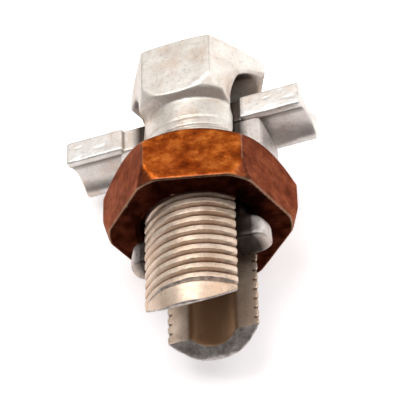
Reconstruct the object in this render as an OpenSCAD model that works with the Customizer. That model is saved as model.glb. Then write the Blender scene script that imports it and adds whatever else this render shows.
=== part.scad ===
// Split bolt connector: a slotted bolt, a hexagon nut, a pressure bar held on
// the nut, and a spacer bar that keeps the two conductors apart.
//
// Each piece is drawn round the bolt's own axis: X runs along the slot, Y across
// it, and Z along the bolt towards the leg ends, with Z = 0 on the nut's face
// that meets the pressure bar. lay_down() then lays the connector on a nut flat.

/* [Thread and legs] */
// Diameter over the thread crests
thread_d = 15.9; // [13:0.1:19.2]
// Length of the legs' inner faces beyond the nut's back face
leg_l = 24; // [20:0.1:32]
// Length of the legs beyond their inner faces, up to the tips
tip_l = 2.3; // [1:0.1:3]
// Thickness of the legs at their very tips
tip_wall = 0.55; // [0.3:0.05:1]
// Length of the tapered nose on the leg ends
nose_l = 2.65; // [1:0.05:4]
// Radial depth of the tapered nose
nose_d = 0.9; // [0.3:0.1:1.5]

/* [Slot] */
// Width of the slot between the legs
slot_w = 7.9; // [6.4:0.1:9.5]
// How much larger the round seat's radius is than half the slot's width
seat_swell = 1; // [0.8:0.1:2]
// Depth of the round channel in the slot's wall, along the middle of each leg
channel_depth = 1.15; // [0.5:0.05:1.5]
// Radius of the relief under the head where a conductor leaves the slot
relief_r = 7.9; // [6:0.1:9.5]
// How deep the relief bites in, measured from the thread crests
relief_d = 1.4; // [0.5:0.05:2]

/* [Head] */
// How far the head's flats stand out past the thread crests
head_step = 1.15; // [0.8:0.05:2.5]
// Metal left over the round seat, at the top of the slot
bridge_t = 3.3; // [2.5:0.1:6]
// Length of the head's flats along the bolt, at their middle
head_l = 9.8; // [8:0.1:12]
// How much shorter the head's edges are than its flats, on the nut side
edge_drop = 2.1; // [1:0.1:3]
// How far the head's edges are cut back at the top face
head_chamfer = 0.5; // [0.2:0.1:1.5]
// Length of the sloping shoulder from the head down to the shank
shoulder_l = 0.7; // [0.3:0.1:1.5]

/* [Nut] */
// Metal between the thread crests and the nut's flats
nut_wall = 3.95; // [3.2:0.05:6]
// Height of the nut along the bolt
nut_h = 9.1; // [7.5:0.1:12]
// Length of the long corner chamfer on the leg side
front_chamfer_l = 2.9; // [1:0.1:3.5]
// Radial depth of the long corner chamfer
front_chamfer_d = 0.9; // [0.4:0.1:1.2]
// Length of the corner chamfer on the head side
back_chamfer_l = 2.1; // [1:0.1:3]
// How far the face on the head side stops short of the nut's flats
back_face_inset = 0.5; // [0.2:0.1:1]
// Radial depth of the countersink at each end of the bore
nut_csk = 0.8; // [0.3:0.1:1.5]

/* [Pressure bar] */
// How far the bar reaches out past the thread crests, at each end
bar_reach = 2.9; // [2:0.1:3.4]
// Height of the bar between the nut and the spacer
bar_h = 5.6; // [4.5:0.1:8]
// Radius of the rounded corners at the bar's ends, on the spacer side
bar_corner_r = 1.2; // [0.5:0.1:2]
// Width of each ear that passes through the nut
ear_w = 4.8; // [3.9:0.1:5.5]
// Thickness of each ear inside the nut
ear_t = 2.3; // [1.5:0.1:3]
// How far each ear is flared over the nut's face
flare_l = 3.1; // [2.5:0.1:3.5]
// Height of the flared end
flare_h = 4.6; // [3.8:0.1:5.5]
// Radius of the flared end's rolled lip
lip_r = 1.8; // [1.2:0.1:1.9]

/* [Spacer bar] */
// Length of each wing, on both sides of the bolt
wing_l = 8.85; // [7:0.05:12]
// Height of the spacer along the bolt
spacer_h = 4; // [3.3:0.1:6]
// How far each wing is wider than the slot, on each side
wing_step = 0.4; // [0.3:0.05:1]
// Gap between the thread crests and the wings' shoulders
shoulder_clearance = 1; // [0.8:0.1:2]
// Radius of the trough that a conductor lies in
trough_r = 4.5; // [4:0.1:7]
// Depth of each trough
trough_d = 1.3; // [0.6:0.1:1.4]
// How far the spacer lies off centre along the slot
spacer_shift = -1.1; // [-1.2:0.1:1.2]

/* [Fits] */
// Radial clearance between the thread crests and the nut's bore
thread_clearance = 0.05; // [0.02:0.01:0.1]
// Clearance on each side of a bar in the slot
slot_clearance = 0.2; // [0.1:0.05:0.3]
// Axial clearance between the nut and the pressure bar, on each face
nut_clearance = 0.1; // [0.05:0.05:0.3]
// Clearance between an ear and the nut's bore
ear_clearance = 0.3; // [0.2:0.05:0.5]
// Free height of the upper conductor space, from spacer to round seat
run_space = 6.2; // [5:0.1:8]

/* [Pose] */
// Angle between the slot and the surface that the nut lies on
slot_roll = 15.5; // [0:0.5:30]

/* [Hidden] */
$fn = 96;
over = 1;
silver = [0.86, 0.82, 0.77];
dull_silver = [0.76, 0.70, 0.65];
bronze = [0.55, 0.28, 0.16];

// Bolt, slot and head
thread_r = thread_d / 2;
slot_half = slot_w / 2;
seat_r = slot_half + seat_swell;
channel_r = slot_half + channel_depth;
lead_in = thread_r - nose_d - tip_wall - slot_half;
head_r = thread_r + head_step;
head_edge_r = head_r / cos(30);

// Nut
nut_half = thread_r + nut_wall;
nut_edge_r = nut_half / cos(30);
bore_r = thread_r + thread_clearance;

// Bars
bar_w = slot_w - 2 * slot_clearance;
bar_l = thread_d + 2 * bar_reach;
ear_out = sqrt(pow(bore_r - ear_clearance, 2) - pow(ear_w / 2, 2));
ear_in = ear_out - ear_t;
lip_end = ear_out + flare_l;
shoulder_gap = thread_d + 2 * shoulder_clearance;
spacer_l = shoulder_gap + 2 * wing_l;
wing_w = slot_w + 2 * wing_step;

// Levels along the bolt's axis
bar_top = -nut_clearance - bar_h;
spacer_top = bar_top - spacer_h;
seat_top = spacer_top - run_space;
seat_centre = seat_top + seat_r;
head_top = seat_top - bridge_t;
flat_end = head_top + head_l;
shank_start = flat_end + shoulder_l;
tip_end = leg_l + tip_l;
flare_start = nut_h + nut_clearance;

// Lays the connector on one flat of its nut, with the leg ends towards -Y and
// the origin in the middle of that flat
module lay_down() {
    translate([0, nut_h / 2, nut_half])
        rotate([0, -slot_roll, 0])
            rotate([90, 0, 0])
                children();
}

// A shape drawn in the plane of the slot's cross-section (X across the slot,
// Y along the bolt), made length long in the direction of the slot
module along_slot(length) {
    rotate([90, 0, 90])
        linear_extrude(height = length, center = true)
            children();
}

// A shape drawn in the plane of the slot (X along the slot, Y along the bolt),
// made width wide across the slot
module across_slot(width) {
    rotate([90, 0, 0])
        linear_extrude(height = width, center = true)
            children();
}

// Hexagon with two of its corners on the X axis
module hexagon(half_width) {
    circle(r = half_width / cos(30), $fn = 6);
}

// The six-sided head, turned to a chamfer on top and to a cone and a shoulder
// on the shank side
module head_blank() {
    cone_end_r = head_r / cos(15);
    intersection() {
        translate([0, 0, head_top])
            linear_extrude(height = shank_start - head_top)
                hexagon(head_r);
        rotate_extrude()
            polygon([
                [0, head_top],
                [head_r, head_top],
                [head_edge_r, head_top + head_chamfer],
                [head_edge_r, flat_end - edge_drop],
                [cone_end_r, flat_end],
                [thread_r, shank_start],
                [0, shank_start]
            ]);
    }
}

// The round shank, tapered at the leg ends
module shank_blank() {
    rotate_extrude()
        polygon([
            [0, flat_end],
            [thread_r, flat_end],
            [thread_r, tip_end - nose_l],
            [thread_r - nose_d, tip_end],
            [0, tip_end]
        ]);
}

// Outline of the slot: a round seat, straight walls and a bevelled mouth
module slot_outline() {
    intersection() {
        translate([0, seat_centre])
            circle(r = seat_r);
        translate([-slot_half, seat_top - over])
            square([slot_w, 2 * seat_r]);
    }
    translate([-slot_half, seat_centre])
        square([slot_w, tip_end + over - seat_centre]);
    mouth = slot_half + lead_in * (tip_l + over) / tip_l;
    polygon([
        [-slot_half, leg_l],
        [slot_half, leg_l],
        [mouth, tip_end + over],
        [-mouth, tip_end + over]
    ]);
}

module slotted_bolt() {
    reach = 2 * (head_edge_r + over);
    color(silver)
        lay_down()
            difference() {
                union() {
                    head_blank();
                    shank_blank();
                }
                along_slot(reach)
                    slot_outline();
                translate([0, 0, seat_centre])
                    cylinder(r = channel_r, h = tip_end + over - seat_centre);
                for (side = [-1, 1])
                    translate([side * (thread_r - relief_d + relief_r), 0, spacer_top])
                        rotate([90, 0, 0])
                            cylinder(r = relief_r, h = reach, center = true);
            }
}

// The hexagon blank of the nut, turned to a chamfer at both ends
module nut_blank() {
    intersection() {
        rotate([0, 0, -slot_roll])
            linear_extrude(height = nut_h)
                hexagon(nut_half);
        rotate_extrude()
            polygon([
                [0, 0],
                [nut_half - back_face_inset, 0],
                [nut_edge_r, back_chamfer_l],
                [nut_edge_r, nut_h - front_chamfer_l],
                [nut_edge_r - front_chamfer_d, nut_h],
                [0, nut_h]
            ]);
    }
}

module hex_nut() {
    color(bronze)
        lay_down()
            difference() {
                nut_blank();
                translate([0, 0, -over])
                    cylinder(r = bore_r, h = nut_h + 2 * over);
                for (end = [0, 1])
                    translate([0, 0, end * nut_h])
                        mirror([0, 0, end])
                            translate([0, 0, -over])
                                cylinder(r1 = bore_r + nut_csk + over, r2 = bore_r, h = nut_csk + over);
            }
}

// Side outline of an ear: a straight stem through the nut, and a rolled lip
// that holds the nut on the bar
module ear_outline() {
    top = flare_start + flare_h;
    polygon([
        [ear_in, bar_top + bar_h / 2],
        [ear_out, bar_top + bar_h / 2],
        [ear_out, flare_start],
        [lip_end - lip_r, flare_start],
        [lip_end - lip_r, flare_start + 2 * lip_r],
        [ear_out, top],
        [ear_in, top]
    ]);
    translate([lip_end - lip_r, flare_start + lip_r])
        circle(r = lip_r);
}

// One ear of the pressure bar, with a round end when seen along the bolt
module ear() {
    intersection() {
        across_slot(ear_w)
            ear_outline();
        translate([0, 0, bar_top])
            linear_extrude(height = flare_start + flare_h + over - bar_top)
                union() {
                    translate([lip_end - ear_w / 2, 0])
                        circle(d = ear_w);
                    translate([ear_in, -ear_w / 2])
                        square([lip_end - ear_w / 2 - ear_in, ear_w]);
                }
    }
}

// Side outline of the bar, with its corners rounded on the spacer side
module bar_outline() {
    half = bar_l / 2;
    translate([-half, bar_top + bar_corner_r])
        square([bar_l, bar_h - bar_corner_r]);
    translate([bar_corner_r - half, bar_top])
        square([bar_l - 2 * bar_corner_r, bar_h]);
    for (side = [-1, 1])
        translate([side * (half - bar_corner_r), bar_top + bar_corner_r])
            circle(r = bar_corner_r);
}

module pressure_bar() {
    color(dull_silver)
        lay_down()
            union() {
                across_slot(bar_w)
                    bar_outline();
                for (side = [0, 1])
                    mirror([side, 0, 0])
                        ear();
            }
}

module spacer_bar() {
    color(silver)
        lay_down()
            translate([spacer_shift, 0, spacer_top])
                difference() {
                    union() {
                        translate([-spacer_l / 2, -bar_w / 2, 0])
                            cube([spacer_l, bar_w, spacer_h]);
                        for (side = [-1, 1])
                            translate([side * (spacer_l - wing_l) / 2, 0, spacer_h / 2])
                                cube([wing_l, wing_w, spacer_h], center = true);
                    }
                    for (level = [trough_d - trough_r, spacer_h - trough_d + trough_r])
                        translate([0, 0, level])
                            rotate([0, 90, 0])
                                cylinder(r = trough_r, h = spacer_l + 2 * over, center = true);
                }
}

slotted_bolt();
hex_nut();
pressure_bar();
spacer_bar();
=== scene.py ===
"""Split bolt connector: threaded bolt, bronze nut and clamping bars, in a plain pale studio.

Each CAD node is replaced by a finer mesh of the same size. A mesh is made from a field, a
function that is negative inside the piece, drawn in the bolt's own axes in millimetres:
s along the slot, m across it, and a along the bolt towards the leg ends, with a = 0 on the
nut's back face.
"""

import itertools
import math

import bpy
import numpy as np
from mathutils import Matrix, Vector

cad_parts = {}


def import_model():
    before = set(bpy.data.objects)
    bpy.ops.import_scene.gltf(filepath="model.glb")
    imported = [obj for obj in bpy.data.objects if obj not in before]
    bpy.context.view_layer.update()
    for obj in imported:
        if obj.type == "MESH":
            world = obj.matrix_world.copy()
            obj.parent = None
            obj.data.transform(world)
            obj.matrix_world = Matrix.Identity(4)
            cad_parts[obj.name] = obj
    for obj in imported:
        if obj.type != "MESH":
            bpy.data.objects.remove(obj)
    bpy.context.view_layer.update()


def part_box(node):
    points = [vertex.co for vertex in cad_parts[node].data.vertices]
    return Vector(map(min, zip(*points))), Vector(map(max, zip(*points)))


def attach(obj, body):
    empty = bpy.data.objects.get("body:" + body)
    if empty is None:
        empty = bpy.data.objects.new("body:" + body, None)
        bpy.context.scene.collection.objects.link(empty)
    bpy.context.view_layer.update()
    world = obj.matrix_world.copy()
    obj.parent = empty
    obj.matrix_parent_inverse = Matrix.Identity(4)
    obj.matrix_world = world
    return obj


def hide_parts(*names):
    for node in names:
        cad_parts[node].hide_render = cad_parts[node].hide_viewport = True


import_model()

MM = 0.001
SLOT_ROLL = math.radians(15.5)
PITCH = 1.5875

# Studio light: strength of the tent in front and behind, and of the floor's own glow
TENT_FRONT, TENT_BACK = 0.05, 0.48
FLOOR_GLOW = 0.55

# Sizes read from the CAD frame, in millimetres
nut_low, nut_high = (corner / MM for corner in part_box("hex_nut"))
bolt_low, bolt_high = (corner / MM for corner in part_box("slotted_bolt"))
bar_low, bar_high = (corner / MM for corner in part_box("pressure_bar"))
spacer_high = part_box("spacer_bar")[1] / MM
nut_h = nut_high.y - nut_low.y
nut_half = (nut_high.z - nut_low.z) / 2
tip_end = nut_high.y - bolt_low.y
head_top = nut_high.y - bolt_high.y
bar_top = nut_high.y - bar_high.y
ear_end = nut_high.y - bar_low.y
spacer_top = nut_high.y - spacer_high.y

# Bolt: thread, leg ends, slot, seat and head, in millimetres
thread_r, thread_depth = 7.95, 0.64
tip_l, tip_wall = 2.3, 0.55
leg_l = tip_end - tip_l
nose_l, nose_d = 2.65, 0.9
slot_half, channel_r, seat_r = 3.95, 5.1, 4.95
relief_r, relief_s = 7.9, 6.55
head_r, head_l, shoulder_l = 9.1, 9.8, 0.7
edge_drop, head_chamfer, bridge_t = 2.1, 0.5, 3.3
flat_end = head_top + head_l
seat_centre = head_top + bridge_t + seat_r

# Nut: chamfers, bore and countersinks
back_chamfer_l, back_face_inset = 2.1, 0.5
front_chamfer_l, front_chamfer_d = 2.9, 0.9
thread_gap, nut_csk = 0.05, 0.8

# Pressure bar and its ears
bar_half, bar_half_w, bar_corner_r = 10.85, 3.75, 1.2
ear_in, ear_out, ear_half_w = 5.02, 7.3, 2.4
lip_end, lip_r, lip_inset, nut_gap = 10.4, 1.8, 0.1, 0.1

# Spacer bar and its wings
spacer_half, spacer_h, spacer_shift = 17.8, 4.0, -1.1
wing_half, shoulder_s = 4.35, 8.95
trough_r, trough_d = 4.5, 1.3

# Stands for a part of a field that is far inside and cuts nothing
DEEP_INSIDE = -99.0


# ---------------------------------------------------------------- fields

def cut(first, second, soft=0.4):
    """Intersection of two fields, with the edge between them rounded."""
    near = np.maximum(soft - np.abs(first - second), 0)
    return np.maximum(first, second) + near * near / (4 * soft)


def join(first, second, soft=0.4):
    """Union of two fields, with a fillet between them."""
    return -cut(-first, -second, soft)


def hexagon(u, v, half):
    """Hexagon with corners on the u axis and flats half away from the middle."""
    c, d = math.cos(math.pi / 6), math.sin(math.pi / 6)
    edge = cut(np.abs(v), np.abs(c * u) + d * np.abs(v), 0.25)
    return edge - half


def cone(r, a, start, end):
    """Distance outside the cone through two (a, r) points of a turned outline."""
    (a0, r0), (a1, r1) = start, end
    length = math.hypot(a1 - a0, r1 - r0)
    return ((r - r0) * (a1 - a0) - (a - a0) * (r1 - r0)) / length


def smooth_step(x, low, high):
    """0 below low, 1 above high, and a smooth rise between."""
    t = np.clip((x - low) / (high - low), 0, 1)
    return t * t * (3 - 2 * t)


lattice_n = 32
lattice = np.random.default_rng(7).random((lattice_n,) * 3)


def noise(s, m, a, size):
    """Smooth random field between -1 and 1, with lumps about size across."""
    total = 0
    points = [np.asarray(x) / size + 100 for x in (s, m, a)]
    cells = [np.floor(p).astype(int) for p in points]
    parts = [(p - c) for p, c in zip(points, cells)]
    parts = [t * t * (3 - 2 * t) for t in parts]
    for corner in itertools.product((0, 1), repeat=3):
        weight = 1
        for t, bit in zip(parts, corner):
            weight = weight * (t if bit else 1 - t)
        i, j, k = ((cell + bit) % lattice_n for cell, bit in zip(cells, corner))
        total = total + weight * lattice[i, j, k]
    return total * 2 - 1


def skin(s, m, a, depth, size):
    """Cast or worn skin: hollows up to depth deep and about size across."""
    return depth * (1 + noise(s, m, a, size)) / 2


def thread_wave(s, m, a):
    """1 on the crest of the right-hand thread and 0 at its root."""
    turn = a / PITCH - np.arctan2(m, s) / (2 * math.pi)
    rise = np.abs(2 * (turn - np.floor(turn)) - 1)
    return smooth_step(rise, 0.04, 0.58)


def shank_field(s, m, a, r):
    """Shank whose thread fades out towards the head, the nose and the edges of the slot."""
    nose_start = tip_end - nose_l
    fade = smooth_step(a, -7.0, 1.0) * (1 - smooth_step(a, nose_start - 0.6, nose_start + 0.1))
    fade = fade * (0.25 + 0.75 * smooth_step(np.abs(m), slot_half + 0.2, slot_half + 2.2))
    surface_detail = 0.05 * noise(s, m, a, size=1.1)
    crest = thread_r - thread_depth * fade * (1 - thread_wave(s, m, a)) - fade * np.abs(surface_detail)
    # Across the steep flanks, the surface is nearer than r - crest
    shank = (r - crest) * np.where(fade > 0.1, 0.6, 1.0)
    shank = cut(shank, a - tip_end, soft=0.3)
    shank = cut(shank, cone(r, a, (nose_start, thread_r), (tip_end, thread_r - nose_d)), soft=0.3)
    return np.maximum(shank, flat_end - 2 - a)


def head_field(s, m, a, r):
    """Six-sided head, turned at both ends."""
    edge_r = head_r / math.cos(math.pi / 6)
    cone_end_r = head_r / math.cos(math.radians(15))
    shoulder_end = flat_end + shoulder_l
    head = cut(hexagon(s, m, head_r), head_top - a, soft=0.5)
    head = cut(head, cone(r, a, (head_top, head_r), (head_top + head_chamfer, edge_r)), soft=0.4)
    head = cut(head, cone(r, a, (flat_end - edge_drop, edge_r), (flat_end, cone_end_r)), soft=0.25)
    head = cut(head, cone(r, a, (flat_end, cone_end_r), (shoulder_end, thread_r)), soft=0.3)
    return np.maximum(head, a - flat_end - shoulder_l)


def slot_field(m, a):
    """Slot with its round seat and bevelled mouth."""
    wall = np.abs(m) - slot_half
    seat = np.where(a < seat_centre, np.hypot(m, a - seat_centre) - seat_r, DEEP_INSIDE)
    slot = cut(wall, seat, soft=0.2)
    lead_in = thread_r - nose_d - tip_wall - slot_half
    mouth = (wall - (a - leg_l) * lead_in / tip_l) * tip_l / math.hypot(lead_in, tip_l)
    return np.minimum(slot, mouth)


def bolt_field(s, m, a):
    r = np.hypot(s, m)
    body = join(head_field(s, m, a, r), shank_field(s, m, a, r))
    channel = np.maximum(r - channel_r, seat_centre - a)
    relief = np.hypot(np.abs(s) - relief_s - relief_r, a - spacer_top) - relief_r
    body = cut(body, -slot_field(m, a), soft=0.35)
    body = cut(body, -channel, soft=0.3)
    body = cut(body, -relief, soft=0.5)
    # The cast skin is rougher on the bevel at the leg ends
    rough = 0.03 + 0.05 * smooth_step(a, leg_l - 0.3, leg_l + 0.6)
    return body + skin(s, m, a, rough, size=1.7)


def nut_field(s, m, a):
    r = np.hypot(s, m)
    u = s * math.cos(SLOT_ROLL) - m * math.sin(SLOT_ROLL)
    v = s * math.sin(SLOT_ROLL) + m * math.cos(SLOT_ROLL)
    edge_r = nut_half / math.cos(math.pi / 6)
    body = cut(hexagon(u, v, nut_half), np.abs(a - nut_h / 2) - nut_h / 2, soft=0.45)
    body = cut(body, cone(r, a, (0, nut_half - back_face_inset), (back_chamfer_l, edge_r)), soft=0.2)
    front_start = nut_h - front_chamfer_l
    body = cut(body, cone(r, a, (front_start, edge_r), (nut_h, edge_r - front_chamfer_d)), soft=0.2)
    bore_r = thread_r + thread_gap
    ridge = np.maximum(0.5 - thread_wave(s, m, a), 0) * 0.4
    body = cut(body, bore_r - ridge - r, soft=0.15)
    for end in (0, nut_h):
        inner = bore_r + nut_csk - np.abs(a - end)
        body = cut(body, (inner - r) * 0.7, soft=0.2)
    return body + skin(s, m, a, 0.03, size=2.3)


def ear_field(m, a, e):
    """Both ears: straight stems, each with a peened lip rolled over the nut. e is |s|."""
    lip_a = ear_end - lip_r - lip_inset
    stem = cut(ear_in - e, e - ear_out, soft=0.4)
    stem = np.maximum(stem, bar_top + 2 - a)
    lip = np.hypot(e - (lip_end - lip_r), a - lip_a) - lip_r
    throat = cone(e, a, (nut_h + 0.3, ear_out), (lip_a, lip_end - 0.5))
    wedge = cut(cut(ear_in - e, throat, soft=0.5), nut_h + nut_gap - a, soft=0.3)
    ear = join(join(stem, wedge, soft=0.2), lip, soft=0.9)
    ear = cut(ear, a - ear_end, soft=0.9)
    round_end = np.hypot(np.maximum(e - (lip_end - ear_half_w), 0), m) - ear_half_w
    return cut(ear, round_end, soft=0.7)


def bar_field(s, m, a):
    e = np.abs(s)
    body = cut(e - bar_half, np.abs(m) - bar_half_w, soft=0.5)
    body = cut(body, a + nut_gap, soft=0.4)
    past_side = np.maximum(e - bar_half + bar_corner_r, 0)
    past_top = np.maximum(bar_top + bar_corner_r - a, 0)
    body = cut(body, np.hypot(past_side, past_top) - bar_corner_r, soft=0.3)
    body = join(body, ear_field(m, a, e), soft=0.3)
    peened = smooth_step(a, nut_h, nut_h + 1)
    lumps = skin(s, m, a, 0.22 * peened, size=1.3)
    return body + lumps + skin(s, m, a, 0.03, size=2.0)


def spacer_field(s, m, a):
    s = s - spacer_shift
    level = a - spacer_top
    ends = cut(np.abs(s) - spacer_half, np.abs(level - spacer_h / 2) - spacer_h / 2, soft=0.45)
    wings = cut(np.maximum(np.abs(m) - wing_half, shoulder_s - np.abs(s)), ends, soft=0.5)
    middle = cut(np.abs(m) - bar_half_w, ends, soft=0.4)
    body = np.minimum(wings, middle)
    for centre in (trough_d - trough_r, spacer_h - trough_d + trough_r):
        body = cut(body, trough_r - np.hypot(m, level - centre), soft=0.35)
    at_edge = smooth_step(np.abs(m), wing_half - 0.9, wing_half)
    nicks = 0.07 * smooth_step(noise(s, m, a, size=0.9), 0.45, 0.9) * at_edge
    return body + nicks + skin(s, m, a, 0.05, size=2.6)


# ---------------------------------------------------------------- mesher

def slope_of(field, p, h=0.02):
    """Gradient of a field at an array of points."""
    rows = []
    for axis in range(3):
        step = np.zeros(3)
        step[axis] = h
        rows.append((field(*(p + step).T) - field(*(p - step).T)) / (2 * h))
    return np.stack(rows, axis=1)


def line_ends(values, axis, rest):
    """The values at the two ends of each grid line along one axis, the other axes cut by rest."""
    first, second = [rest] * 3, [rest] * 3
    first[axis], second[axis] = slice(0, -1), slice(1, None)
    return values[tuple(first)], values[tuple(second)]


def crossing_sums(values):
    """For each grid cell, the sum and the number of the points where its edges meet the surface."""
    count = tuple(n - 1 for n in values.shape)
    total, hits = np.zeros(count + (3,)), np.zeros(count)
    for axis in range(3):
        v0, v1 = line_ends(values, axis, slice(None))
        crossed = (v0 < 0) != (v1 < 0)
        with np.errstate(divide="ignore", invalid="ignore"):
            share = np.where(crossed, v0 / (v0 - v1), 0)
        others = [x for x in range(3) if x != axis]
        for bits in itertools.product((0, 1), repeat=2):
            part = [slice(None)] * 3
            for other, bit in zip(others, bits):
                part[other] = slice(bit, count[other] + bit)
            here = crossed[tuple(part)]
            hits += here
            total[..., axis] += np.where(here, share[tuple(part)], 0)
            for other, bit in zip(others, bits):
                total[..., other] += here * bit
    return total, hits


def settle(field, points, limit):
    """Moves each point onto the surface, in a few short steps along the gradient."""
    for _ in range(4):
        grad = slope_of(field, points)
        move = field(*points.T)[:, None] * grad / np.maximum((grad ** 2).sum(1), 0.05)[:, None]
        size = np.linalg.norm(move, axis=1, keepdims=True)
        points = points - move * np.minimum(1, 0.5 * limit / np.maximum(size, 1e-9))
    return points


def net_quads(inside, index):
    """One quad for each grid line that meets the surface, joining the four cells around it."""
    quads = []
    for axis in range(3):
        before, after = line_ends(inside, axis, slice(1, -1))
        u, v = (axis + 1) % 3, (axis + 2) % 3
        for flipped, where in ((False, before & ~after), (True, ~before & after)):
            at = np.stack(np.nonzero(where), axis=1)
            at[:, [u, v]] += 1
            ring = []
            for du, dv in ((0, 0), (1, 0), (1, 1), (0, 1)):
                spot = at.copy()
                spot[:, u] -= 1 - du
                spot[:, v] -= 1 - dv
                ring.append(index[tuple(spot.T)])
            if flipped:
                ring.reverse()
            quads.append(np.stack(ring, axis=1))
    return np.concatenate(quads)


def surface_net(field, low, high, step):
    """Closed quad mesh of field = 0: one vertex in each cell that the surface crosses."""
    axes = [np.arange(l - 2 * d, h + 3 * d, d) for l, h, d in zip(low, high, step)]
    values = field(*np.meshgrid(*axes, indexing="ij"))
    total, hits = crossing_sums(values)
    cell = hits > 0
    index = np.full(hits.shape, -1)
    index[cell] = np.arange(cell.sum())
    corner = np.stack(np.nonzero(cell), axis=1) + total[cell] / hits[cell][:, None]
    start = np.array([x[0] for x in axes])
    points = settle(field, start + corner * np.array(step), limit=min(step))
    return points, net_quads(values < 0, index)


def to_world(points):
    """Bolt axes in millimetres to the shared frame in metres."""
    s, m, a = points.T
    x = s * math.cos(SLOT_ROLL) - m * math.sin(SLOT_ROLL)
    z = s * math.sin(SLOT_ROLL) + m * math.cos(SLOT_ROLL) + nut_half
    return np.stack([x, nut_high.y - a, z], axis=1) * MM


def piece(name, node, body, field, low, high, step, material):
    """Meshes a field into an object that stands for one CAD node.

    low and high are the corners of a box round the piece, in the bolt's own axes.
    """
    points, quads = surface_net(field, low, high, step)
    grad = slope_of(field, points)
    grad /= np.maximum(np.linalg.norm(grad, axis=1, keepdims=True), 1e-9)
    mesh = bpy.data.meshes.new(name)
    mesh.from_pydata(to_world(points).tolist(), [], quads.tolist())
    mesh.validate()
    mesh.polygons.foreach_set("use_smooth", [True] * len(mesh.polygons))
    # A direction turns as a point does, less the move of the origin
    normals = to_world(grad) / MM - to_world(np.zeros((1, 3))) / MM
    mesh.normals_split_custom_set_from_vertices(normals.tolist())
    mesh.materials.append(material)
    obj = bpy.data.objects.new(name, mesh)
    bpy.context.scene.collection.objects.link(obj)
    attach(obj, body)
    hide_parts(node)
    print(name, len(quads) * 2, "triangles")


# ---------------------------------------------------------------- materials

# Tints that multiply a colour
WARM_STAIN = (0.80, 0.60, 0.46, 1)
# Painted shade for surfaces that face down
UNDERSIDE_SHADE_TINT = (0.16, 0.13, 0.11, 1)
# Painted shade for the bolt's surfaces that face down or sideways
BOLT_UNDERSIDE_SHADE_TINT = (0.14, 0.095, 0.075, 1)
# Painted shade for the roots of the thread
THREAD_ROOT_SHADE_TINT = (0.22, 0.13, 0.08, 1)
WORN_TINT = (0.95, 0.81, 0.70, 1)
# Painted shade for the bars where they pass through the bolt and the nut
PASSING_SHADE_TINT = (0.06, 0.045, 0.035, 1)

# Colours that take a colour's place
BLACK = (0, 0, 0, 1)
# Painted shade for the channel between the legs
CHANNEL_SHADE_BROWN = (0.42, 0.24, 0.13, 1)
# Bare metal on edges, partly a painted highlight
BARE_EDGE_AND_HIGHLIGHT = (0.95, 0.66, 0.44, 1)
BRONZE_GLANCE = (0.88, 0.58, 0.50, 1)

TIN_METALLIC = 0.65


def grey(level):
    return (level,) * 3


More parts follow.
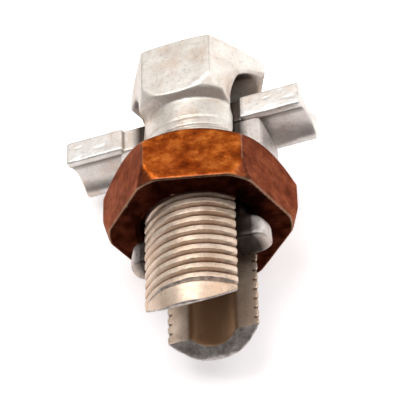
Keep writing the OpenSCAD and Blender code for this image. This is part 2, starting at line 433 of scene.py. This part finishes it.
class Nodes:
    """Short way to add and join shader nodes of one material."""

    def __init__(self, name):
        self.material = bpy.data.materials.new(name)
        self.material.use_nodes = True
        self.tree = self.material.node_tree
        self.shader = self.tree.nodes["Principled BSDF"]

    def add(self, kind, inputs=None, **settings):
        node = self.tree.nodes.new(kind)
        for key, value in settings.items():
            setattr(node, key, value)
        for key, value in (inputs or {}).items():
            self.put(node.inputs[key], value)
        return node

    def put(self, socket, value):
        if isinstance(value, bpy.types.NodeSocket):
            self.tree.links.new(value, socket)
        else:
            socket.default_value = value

    def place(self, scale=(1, 1, 1)):
        """Object coordinates, in units of one millimetre times scale."""
        where = self.add("ShaderNodeTexCoord").outputs["Object"]
        inputs = {"Vector": where, "Scale": [1 / MM * x for x in scale]}
        return self.add("ShaderNodeMapping", inputs).outputs[0]

    def noise(self, scale, detail=4, stretch=(1, 1, 1), rough=0.6):
        inputs = {"Vector": self.place(stretch), "Scale": scale, "Detail": detail, "Roughness": rough}
        return self.add("ShaderNodeTexNoise", inputs).outputs["Fac"]

    def ramp(self, value, *stops):
        """Colour ramp over (position, colour) stops."""
        node = self.add("ShaderNodeValToRGB", {"Fac": value})
        elements = node.color_ramp.elements
        while len(elements) < len(stops):
            elements.new(0.5)
        for element, (position, color) in zip(elements, stops):
            element.position = position
            element.color = (*color, 1)
        return node.outputs["Color"]

    def mix(self, share, first, second, kind="MIX"):
        node = self.add("ShaderNodeMix", data_type="RGBA", blend_type=kind)
        self.put(node.inputs[0], share)
        self.put(node.inputs[6], first)
        self.put(node.inputs[7], second)
        return node.outputs[2]

    def multiply(self, color, tint):
        return self.mix(1.0, color, tint, "MULTIPLY")

    def tint(self, share, color, tint):
        """The colour, multiplied by a tint where share is 1."""
        return self.mix(share, color, self.multiply(color, tint))

    def calc(self, operation, first, second=0.0):
        return self.add("ShaderNodeMath", {0: first, 1: second}, operation=operation).outputs[0]

    def vector(self, operation, first, second):
        return self.add("ShaderNodeVectorMath", {0: first, 1: second}, operation=operation).outputs

    def split(self, vector):
        return self.add("ShaderNodeSeparateXYZ", {0: vector}).outputs

    def between(self, value, start, end):
        """0 where value is at start, 1 where it is at end, and held past both."""
        inputs = {"Value": value, "From Min": start, "From Max": end}
        return self.add("ShaderNodeMapRange", inputs).outputs[0]

    def along(self, axis, start, end):
        """0 where one object coordinate, in millimetres, is at start, and 1 where it is at end."""
        return self.between(self.split(self.place())[axis], start, end)

    def facing(self, axis, start, end):
        """0 where the surface's own normal along one axis is at start, 1 where it is at end."""
        normal = self.add("ShaderNodeTexCoord").outputs["Normal"]
        return self.between(self.split(normal)[axis], start, end)

    def from_axis(self, start, end):
        """0 where the bolt's axis is start millimetres away, and 1 where it is end away."""
        flat = self.vector("MULTIPLY", self.place(), (1, 0, 1))[0]
        length = self.vector("DISTANCE", flat, (0, 0, nut_half))[1]
        return self.between(length, start, end)

    def thread_root(self):
        """1 along the root of the bolt's thread, and 0 on its crest and away from the thread."""
        x, y, z = self.split(self.place())
        angle = self.calc("ARCTAN2", self.calc("SUBTRACT", z, nut_half), x)
        angle = self.calc("SUBTRACT", angle, SLOT_ROLL)
        length = self.calc("DIVIDE", self.calc("SUBTRACT", nut_high.y, y), PITCH)
        turn = self.calc("SUBTRACT", length, self.calc("DIVIDE", angle, 2 * math.pi))
        root = self.ramp(self.calc("PINGPONG", turn, 0.5), (0.33, grey(0)), (0.46, grey(1)))
        zone = self.calc("MULTIPLY", self.along("Y", 2, -2), self.along("Y", -19, -18.4))
        zone = self.calc("MULTIPLY", zone, self.from_axis(7.1, 7.25))
        return self.calc("MULTIPLY", root, zone)

    def pointiness(self):
        """Above 0.5 on outer edges and below 0.5 in crevices."""
        return self.add("ShaderNodeNewGeometry").outputs["Pointiness"]

    def bump(self, height, strength, distance, normal=None):
        inputs = {"Height": height, "Strength": strength, "Distance": distance}
        if normal:
            inputs["Normal"] = normal
        return self.add("ShaderNodeBump", inputs).outputs[0]

    def finish(self, color, metallic, roughness, normal):
        """Joins the colour, the roughness and the bumps to the shader."""
        self.put(self.shader.inputs["Base Color"], color)
        self.shader.inputs["Metallic"].default_value = metallic
        self.put(self.shader.inputs["Roughness"], roughness)
        self.put(self.shader.inputs["Normal"], normal)
        return self.material


def bolt_wear_and_shade(n, color):
    """Bolt: painted shade below, in the thread roots and in the channel, worn legs, and leg-end bevels
    mottled dark, partly cast skin and partly painted shade.
    """
    # Painted shade: darker where the bolt's surface turns down or sideways
    color = n.tint(n.facing("Z", 0.35, -0.25), color, BOLT_UNDERSIDE_SHADE_TINT)
    # Painted shade along the roots of the thread
    color = n.tint(n.thread_root(), color, THREAD_ROOT_SHADE_TINT)
    color = n.tint(n.along("Y", 0, -6), color, WORN_TINT)
    # Painted shade: dark brown inside the channel between the legs
    inside = n.mix(n.along("Y", 11, 9), BLACK, n.from_axis(5.5, 5.2))
    color = n.mix(inside, color, CHANNEL_SHADE_BROWN)
    # Leg-end bevels: a dark mottled grey, partly cast skin and partly painted shade
    cast = n.noise(1.1, 5, rough=0.7)
    cast_mottle_and_shade = n.ramp(cast, (0.35, (0.30, 0.26, 0.24)), (0.65, (0.75, 0.69, 0.65)))
    bevel = n.mix(n.along("Y", -17, -18.5), BLACK, n.facing("Y", -0.42, -0.60))
    return n.mix(bevel, color, cast_mottle_and_shade)


def bar_passing_shade(n, color):
    """Bars: painted shade, near black, where they pass through the bolt and the nut."""
    return n.tint(n.from_axis(9.6, 8.4), color, PASSING_SHADE_TINT)


def tin(name, surface_detail, light, dark, pits, roughness):
    """Tin plate over cast copper alloy: cloudy grey-white with warm stains and fine pits, and painted
    shade in crevices and underneath.
    """
    n = Nodes(name)
    cloud = n.ramp(n.noise(0.35, 5), (0.35, light), (0.68, dark))
    stain = n.ramp(n.noise(0.16, 3), (0.48, grey(0)), (0.7, grey(0.55)))
    color = n.mix(stain, cloud, WARM_STAIN, "MULTIPLY")
    speck = n.ramp(n.noise(2.2, 5, rough=0.7), (0.34, grey(pits)), (0.46, grey(1)))
    # Painted shade: darker in crevices, where the surface curves inward
    crevice_shade = n.ramp(n.pointiness(), (0.42, (0.20, 0.14, 0.10)), (0.495, grey(1)))
    color = n.multiply(n.multiply(color, speck), crevice_shade)
    # Painted shade: darker on surfaces that face down, such as under the wings
    color = n.tint(n.facing("Z", -0.2, -0.6), color, UNDERSIDE_SHADE_TINT)
    smooth, matt = roughness
    gloss = n.ramp(n.noise(0.9, 4), (0.3, grey(smooth)), (0.7, grey(matt)))
    fine = n.bump(n.noise(3.0, 5, rough=0.7), 0.25, 0.00008)
    bumps = n.bump(n.noise(0.8, 3), 0.3, 0.0002, fine)
    # The function passed in adds wear and painted shade to the colour
    return n.finish(surface_detail(n, color), TIN_METALLIC, gloss, bumps)


def bronze():
    """Bare silicon bronze: mottled patina, painted light that makes the top orange, painted shade that
    makes the front near black, and bare edges, partly a painted highlight.
    """
    n = Nodes("bare_bronze")
    grain = n.noise(0.5, 7, (0.85, 1.1, 1), 0.75)
    lit_top = n.ramp(grain, (0.34, (0.13, 0.022, 0.004)), (0.5, (0.36, 0.075, 0.010)),
                 (0.66, (0.62, 0.19, 0.035)))
    shaded_side = n.ramp(grain, (0.34, (0.065, 0.018, 0.012)), (0.5, (0.15, 0.042, 0.024)),
                  (0.66, (0.25, 0.080, 0.040)))
    # Painted light: flats that face up are a lighter orange than the other flats
    color = n.mix(n.facing("Z", 0.75, 0.95), shaded_side, lit_top)
    stain = n.ramp(n.noise(0.20, 3), (0.42, grey(1)), (0.7, (0.62, 0.46, 0.50)))
    color = n.multiply(color, stain)
    # Painted shade: the face towards the leg ends is near black
    front = n.ramp(n.noise(0.5, 4), (0.4, (0.007, 0.001, 0.001)), (0.65, (0.040, 0.009, 0.005)))
    color = n.mix(n.facing("Y", -0.80, -0.97), color, front)
    # Convex edges: bare metal where rubbed, partly a painted highlight
    edge = n.ramp(n.pointiness(), (0.52, grey(0)), (0.60, grey(1)))
    color = n.mix(edge, color, BARE_EDGE_AND_HIGHLIGHT)
    n.shader.inputs["Specular Tint"].default_value = BRONZE_GLANCE
    gloss = n.ramp(n.noise(1.2, 5), (0.3, grey(0.30)), (0.7, grey(0.48)))
    bumps = n.bump(n.noise(1.4, 6, (0.6, 1.4, 1), 0.7), 0.25, 0.0001)
    return n.finish(color, 1.0, gloss, bumps)


# ---------------------------------------------------------------- studio

def camera():
    """Long-lens camera, placed by azimuth, elevation and roll about the view axis."""
    azimuth, elevation, roll = math.radians(5.738), math.radians(50.712), math.radians(8.795)
    target = Vector((0.0, 0.00114, 0.01177))
    distance = 0.3215
    flat = math.cos(elevation)
    back = Vector((math.sin(azimuth) * flat, -math.cos(azimuth) * flat, math.sin(elevation)))
    right = Vector((0, 0, 1)).cross(back).normalized()
    up = back.cross(right)
    turned_up = up * math.cos(roll) + right * math.sin(roll)
    turned_right = turned_up.cross(back)
    data = bpy.data.cameras.new("camera")
    data.lens = 206.1
    data.sensor_width = 36
    data.clip_start = 0.01
    data.clip_end = 20
    obj = bpy.data.objects.new("camera", data)
    rotation = Matrix((turned_right, turned_up, back)).transposed().to_4x4()
    obj.matrix_world = Matrix.Translation(target + back * distance) @ rotation
    bpy.context.scene.collection.objects.link(obj)
    bpy.context.scene.camera = obj


def softbox(name, place, size, power):
    """Square area lamp that faces the middle of the nut."""
    middle = Vector((0, 0, 0.012))
    data = bpy.data.lights.new(name, "AREA")
    data.size = size
    data.energy = power
    obj = bpy.data.objects.new(name, data)
    obj.location = place
    obj.rotation_euler = (middle - Vector(place)).to_track_quat("-Z", "Y").to_euler()
    bpy.context.scene.collection.objects.link(obj)


def mixed(tree, share, first, second):
    """Mix Shader node between two shader outputs."""
    mix = tree.nodes.new("ShaderNodeMixShader")
    for socket, value in zip(mix.inputs, (share, first, second)):
        tree.links.new(value, socket)
    return mix.outputs[0]


def world():
    """Pale tent, bright behind and dim in front, that the camera alone sees as plain white.

    Reflections show the tent and not the white.
    """
    data = bpy.data.worlds.new("world")
    bpy.context.scene.world = data
    data.use_nodes = True
    tree = data.node_tree
    tent = tree.nodes["Background"]
    tent.inputs["Color"].default_value = (1, 0.985, 0.97, 1)
    split = tree.nodes.new("ShaderNodeSeparateXYZ")
    direction = tree.nodes.new("ShaderNodeTexCoord").outputs["Generated"]
    tree.links.new(direction, split.inputs[0])
    rise = tree.nodes.new("ShaderNodeMapRange")
    limits = {"From Min": -0.7, "From Max": 0.5, "To Min": TENT_FRONT, "To Max": TENT_BACK}
    for name, value in limits.items():
        rise.inputs[name].default_value = value
    tree.links.new(split.outputs["Y"], rise.inputs["Value"])
    tree.links.new(rise.outputs[0], tent.inputs["Strength"])
    white = tree.nodes.new("ShaderNodeBackground")
    white.inputs["Color"].default_value = (1, 1, 1, 1)
    white.inputs["Strength"].default_value = 1
    by_camera = tree.nodes.new("ShaderNodeLightPath").outputs["Is Camera Ray"]
    shown = mixed(tree, by_camera, tent.outputs[0], white.outputs[0])
    tree.links.new(shown, tree.nodes["World Output"].inputs[0])


def seen_or_reflected(tree):
    """1 for rays from the camera and for reflections, 0 for the light that falls on surfaces."""
    path = tree.nodes.new("ShaderNodeLightPath")
    either = tree.nodes.new("ShaderNodeMath")
    either.operation = "MAXIMUM"
    tree.links.new(path.outputs["Is Camera Ray"], either.inputs[0])
    tree.links.new(path.outputs["Is Glossy Ray"], either.inputs[1])
    return either.outputs[0]


def floor():
    """Wide pale floor that keeps the shadow: near white when seen or reflected, dim as a light."""
    mesh = bpy.data.meshes.new("floor")
    mesh.from_pydata([(-1, -1, 0), (1, -1, 0), (1, 1, 0), (-1, 1, 0)], [], [(0, 1, 2, 3)])
    obj = bpy.data.objects.new("floor", mesh)
    material = bpy.data.materials.new("pale_floor")
    material.use_nodes = True
    tree = material.node_tree
    dim = tree.nodes["Principled BSDF"]
    dim.inputs["Base Color"].default_value = (0.30, 0.28, 0.27, 1)
    dim.inputs["Roughness"].default_value = 0.9
    pale = tree.nodes.new("ShaderNodeBsdfDiffuse")
    pale.inputs["Color"].default_value = (0.90, 0.87, 0.86, 1)
    glow = tree.nodes.new("ShaderNodeEmission")
    glow.inputs["Color"].default_value = (1, 0.955, 0.965, 1)
    glow.inputs["Strength"].default_value = FLOOR_GLOW
    lit = tree.nodes.new("ShaderNodeAddShader")
    tree.links.new(pale.outputs[0], lit.inputs[0])
    tree.links.new(glow.outputs[0], lit.inputs[1])
    shown = mixed(tree, seen_or_reflected(tree), dim.outputs[0], lit.outputs[0])
    tree.links.new(shown, tree.nodes["Material Output"].inputs[0])
    mesh.materials.append(material)
    bpy.context.scene.collection.objects.link(obj)


camera()
world()
floor()
softbox("key", place=(-0.12, 0.07, 0.42), size=0.34, power=1.25)
softbox("fill", place=(0.26, 0.00, 0.36), size=0.30, power=0.55)
softbox("back", place=(0.36, 0.32, 0.14), size=0.30, power=0.3)
bpy.context.scene.view_settings.view_transform = "Standard"

silver = tin("tinned_alloy", bolt_wear_and_shade, light=(0.90, 0.85, 0.79), dark=(0.74, 0.66, 0.58),
             pits=0.75, roughness=(0.34, 0.50))
dull = tin("tinned_alloy_dull", bar_passing_shade, light=(0.76, 0.70, 0.66), dark=(0.56, 0.49, 0.45),
           pits=0.6, roughness=(0.36, 0.52))
bright = tin("tinned_alloy_bright", bar_passing_shade, light=(0.93, 0.90, 0.86), dark=(0.80, 0.74, 0.69),
             pits=0.8, roughness=(0.34, 0.48))

piece("threaded_bolt", "slotted_bolt", "bolt", bolt_field,
      low=(-10.6, -10.2, head_top), high=(10.6, 10.2, tip_end), step=(0.27, 0.27, 0.16), material=silver)
piece("bronze_nut", "hex_nut", "nut", nut_field,
      low=(-13.8, -13.8, 0), high=(13.8, 13.8, nut_h), step=(0.24, 0.24, 0.2), material=bronze())
piece("eared_bar", "pressure_bar", "bar", bar_field,
      low=(-10.9, -3.8, bar_top), high=(10.9, 3.8, ear_end), step=(0.2, 0.2, 0.2), material=dull)
piece("spacer", "spacer_bar", "spacer", spacer_field,
      low=(spacer_shift - spacer_half, -4.4, spacer_top),
      high=(spacer_shift + spacer_half, 4.4, spacer_top + spacer_h),
      step=(0.2, 0.2, 0.16), material=bright)
